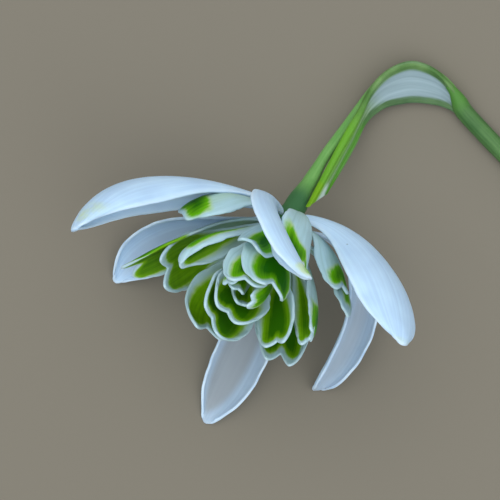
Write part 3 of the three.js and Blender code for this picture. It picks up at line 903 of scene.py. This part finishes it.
def spathe_face(name):
    """Two green keels, and a skin between them that goes from bluish by way of green to a pale tip."""
    nodes = Nodes(name, roughness=0.45, subsurface=0.35)
    lines = nodes.streaks(2.0, 30.0)
    cloud = nodes.noise(nodes.place(), SPATHE_CLOUDS, 3.0)
    along = nodes.value("along")

    def turned(color, change, other):
        """One colour that turns to another along the spathe."""
        return nodes.mix(nodes.fade(along, change), color, other)

    def off_keel(distance, change):
        """How far a place is off a keel, with a streaky border."""
        return nodes.fade(nodes.math("MULTIPLY_ADD", lines, KEEL_STREAKS, nodes.value(distance)), change)

    bluish = nodes.ramp(lines, (0.3, SKIN_BLUE_DARK), (0.7, SKIN_BLUE_LIGHT))
    greenish = nodes.ramp(lines, (0.3, SKIN_GREEN_DARK), (0.7, SKIN_GREEN_LIGHT))
    skin = turned(turned(bluish, SKIN_GREEN_FADE, greenish), SKIN_TIP_FADE, SKIN_TIP)
    upper = nodes.ramp(cloud, (0.35, UPPER_KEEL_DARK), (0.7, UPPER_KEEL_LIGHT))
    upper = turned(turned(upper, UPPER_FRESH_FADE, UPPER_KEEL_FRESH), UPPER_TIP_FADE, UPPER_KEEL_TIP)
    lower = nodes.ramp(cloud, (0.35, LOWER_KEEL_DARK), (0.7, LOWER_KEEL_LIGHT))
    lower = turned(lower, LOWER_FRESH_FADE, LOWER_KEEL_FRESH)
    color = nodes.mix(off_keel("from_lower", LOWER_KEEL_FADE), lower, skin)
    nodes.color(nodes.mix(off_keel("from_upper", UPPER_KEEL_FADE), upper, color))
    nodes.bump(lines, strength=0.3, distance=0.1)
    return nodes.material


# Assembly

def stands_for(piece, node):
    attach(piece, "root")
    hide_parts(node)


def build_tepals():
    outer_finish = [
        white_face("outer_tepal_outside", veins=22.0, hollow_shade=False),
        # The inside face gets painted shade in its cupped middle.
        white_face("outer_tepal_inside", veins=16.0, hollow_shade=True),
        edge_face("outer_tepal_edge", PETAL_SHADE, PETAL_EDGE),
    ]
    inner_finish = [
        marked_face(
            "inner_tepal_outside", "green_outside", GREEN_BRIGHT, GREEN_DEEP, OUTSIDE_ROOT_FADE,
            through="green_inside"),
        marked_face("inner_tepal_inside", "green_inside", GREEN_OLIVE, GREEN_INSIDE, INSIDE_ROOT_FADE),
        edge_face("inner_tepal_edge", INNER_WHITE, INNER_EDGE, "green_inside"),
    ]
    for k, (node, tepal) in enumerate(OUTER_TEPALS.items()):
        stands_for(outer_tepal(node, tepal, outer_finish, k * SEED_STEP), node)
    for k, (node, tepal) in enumerate(INNER_TEPALS.items()):
        stands_for(inner_tepal(node, tepal, inner_finish, INNER_SEED + k * SEED_STEP), node)


def pedicel_radius(t):
    """The pedicel widens into the ovary's neck."""
    return PEDICEL_RADIUS + (OVARY_NECK_RADIUS - PEDICEL_RADIUS) * smoothstep(PEDICEL_FLARE_START, 1, t)


def scape_radius(t):
    return (SCAPE_RADIUS - RIB_ROOM) * (1 - SCAPE_NARROWING * smoothstep(SCAPE_NARROWS_AT, 1, t))


def build_stems():
    neck = tuple(BLOOM_PLACE - BLOOM_AXIS * (OVARY_LENGTH + PEDICEL_REACH) + NECK_BEND)
    pedicel_finish = green_stem("pedicel_green", STEM_LIGHT, STEM_DARK, ribs=18.0)
    scape_finish = green_stem(
        "scape_green", SCAPE_LIGHT, SCAPE_DARK, ribs=20.0, far_color=SCAPE_FOLD, far=SCAPE_FOLD_FADE)
    ovary_finish = green_stem(
        "ovary_finish", STEM_LIGHT, STEM_DARK, ribs=12.0, far_color=OVARY_NECK, far=OVARY_NECK_FADE)
    pedicel = stalk(
        "pedicel_stalk", [*PEDICEL_PATH, neck], pedicel_radius,
        rings=90, sides=24, rib_depth=0.015, material=pedicel_finish)
    scape = stalk(
        "scape_stalk", [*SCAPE_PATH, *SCAPE_END], scape_radius,
        rings=70, sides=30, rib_depth=0.02, material=scape_finish)
    stands_for(pedicel, "pedicel")
    stands_for(scape, "scape")
    stands_for(ovary(ovary_finish), "ovary")
    stands_for(spathe(spathe_face("spathe_finish")), "spathe")


# Metres from the floor's middle to its sides
FLOOR_REACH = 1.5


def build_floor():
    bm = bmesh.new()
    bmesh.ops.create_grid(bm, x_segments=2, y_segments=2, size=FLOOR_REACH)
    mesh = bpy.data.meshes.new("floor")
    bm.to_mesh(mesh)
    bm.free()
    nodes = Nodes("floor_finish", roughness=0.85)
    nodes.shader.inputs["Base Color"].default_value = (*FLOOR_GREY, 1)
    mesh.materials.append(nodes.material)
    new_object("floor", mesh)


# The lights are placed in metres, and turned to this place.
LIT_PLACE = Vector((0, 0, 0.01))
SKY_COLOR = (0.93, 0.96, 1.0, 1)
SKY_STRENGTH = 0.72


def area_light(name, place, size, energy, color=(1, 1, 1)):
    data = bpy.data.lights.new(name, "AREA")
    data.size = size
    data.energy = energy
    data.color = color
    light = bpy.data.objects.new(name, data)
    light.location = place
    light.rotation_euler = (LIT_PLACE - Vector(place)).to_track_quat("-Z", "Y").to_euler()
    bpy.context.scene.collection.objects.link(light)


def build_light():
    area_light("key", place=(-0.12, 0.18, 0.6), size=0.9, energy=2.9)
    area_light("fill", place=(0.3, -0.3, 0.5), size=0.6, energy=1.1, color=(0.95, 0.98, 1.0))
    world = bpy.data.worlds.new("studio")
    bpy.context.scene.world = world
    world.use_nodes = True
    background = world.node_tree.nodes["Background"]
    background.inputs["Color"].default_value = SKY_COLOR
    background.inputs["Strength"].default_value = SKY_STRENGTH
    bpy.context.scene.view_settings.view_transform = "Standard"


# The picture is square, and the bloom's place is at this pixel of it, counted from the upper left corner.
# The camera is this many millimetres above that place. It sees nothing nearer than the last number, metres.
PICTURE_PIXELS = 500
BLOOM_PIXEL = (290.5, 214)
PIXELS_PER_MM = 9.0
CAMERA_DISTANCE = 320.0
SENSOR_WIDTH = 36.0
NEAREST_SEEN = 0.01


def build_camera():
    """Straight above, and as far away as the photograph's perspective shows."""
    data = bpy.data.cameras.new("camera")
    data.sensor_width = SENSOR_WIDTH
    data.lens = SENSOR_WIDTH * CAMERA_DISTANCE * PIXELS_PER_MM / PICTURE_PIXELS
    data.clip_start = NEAREST_SEEN
    camera = bpy.data.objects.new("camera", data)
    half = PICTURE_PIXELS / 2
    across = (half - BLOOM_PIXEL[0]) / PIXELS_PER_MM
    upwards = (BLOOM_PIXEL[1] - half) / PIXELS_PER_MM
    camera.location = (BLOOM_PLACE + Vector((across, upwards, CAMERA_DISTANCE))) * MM
    bpy.context.scene.collection.objects.link(camera)
    bpy.context.scene.camera = camera


build_tepals()
build_stems()
build_floor()
build_light()
build_camera()
